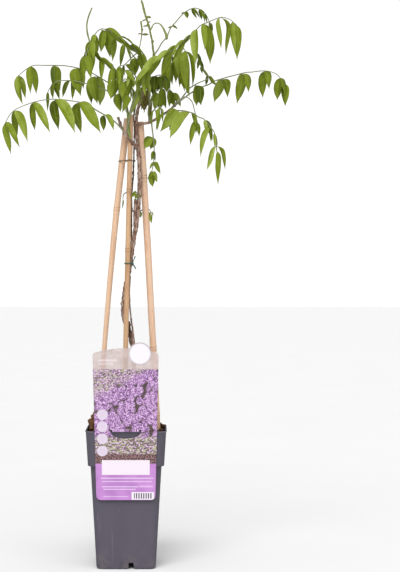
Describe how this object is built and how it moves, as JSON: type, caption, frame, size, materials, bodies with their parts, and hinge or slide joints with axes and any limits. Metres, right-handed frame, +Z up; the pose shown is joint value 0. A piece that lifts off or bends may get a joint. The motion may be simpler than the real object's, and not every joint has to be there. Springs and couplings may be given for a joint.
{
  "type": "potted climbing wisteria",
  "caption": "Young climbing wisteria trained up bamboo canes in a deep square nursery pot, with arching compound leaves and a hooked hang-label.",
  "frame": {"origin": "middle of the face that the pot stands on", "axes": "+Z up, -Y towards the front with the label, +X to the right of the front"},
  "size_m": [0.468, 0.1969, 0.9294],
  "materials": {
    "pot_plastic": "matte moulded, recycled grey",
    "soil": "crumbly, moist",
    "bark_chips": "rough",
    "bamboo": "satin, with grain and nodes",
    "label_plastic": "printed translucent sheet",
    "wire": "coated wire",
    "bark": "rough young bark",
    "green_bark": "smooth green shoot",
    "leaf": "satin leaf, slightly waxy"
  },
  "bodies": {
    "root": {"pot": "pot_plastic", "potting_soil": "soil", "bark_chip_1": "bark_chips", "bark_chip_2": "bark_chips", "bark_chip_3": "bark_chips", "bark_chip_4": "bark_chips", "cane_left": "bamboo", "cane_middle": "bamboo", "cane_right": "bamboo", "cane_tie": "wire", "twist_tie": "wire", "plant_label": "label_plastic", "main_stem": "bark", "climbing_shoot": "bark", "twining_stem": "bark", "stub_low": "bark", "stub_high": "bark", "branch_left": "bark", "branch_right": "bark", "shoot_left": "green_bark", "shoot_right": "green_bark", "shoot_upright": "green_bark", "shoot_hooked": "green_bark", "leaf_high_left": "leaf", "leaf_low_left": "leaf", "leaf_mid_left": "leaf", "leaf_arch_left": "leaf", "leaf_inner_arch": "leaf", "leaf_inner_low": "leaf", "leaf_front_left": "leaf", "leaf_front": "leaf", "leaf_front_up": "leaf", "leaf_high_right": "leaf", "leaf_right_mid": "leaf", "leaf_far_right": "leaf", "leaf_low_right": "leaf", "leaf_short_right": "leaf", "leaf_sprig_right": "leaf", "leaf_hanging": "leaf", "leaf_dark_right": "leaf", "leaf_back_right": "leaf", "leaf_top_right": "leaf", "leaf_under_right": "leaf", "leaf_back": "leaf", "leaf_back_left": "leaf", "leaf_unfolding": "leaf", "young_leaf_left": "leaf", "young_leaf_middle": "leaf", "young_leaf_right": "leaf"}
  },
  "joints": []
}
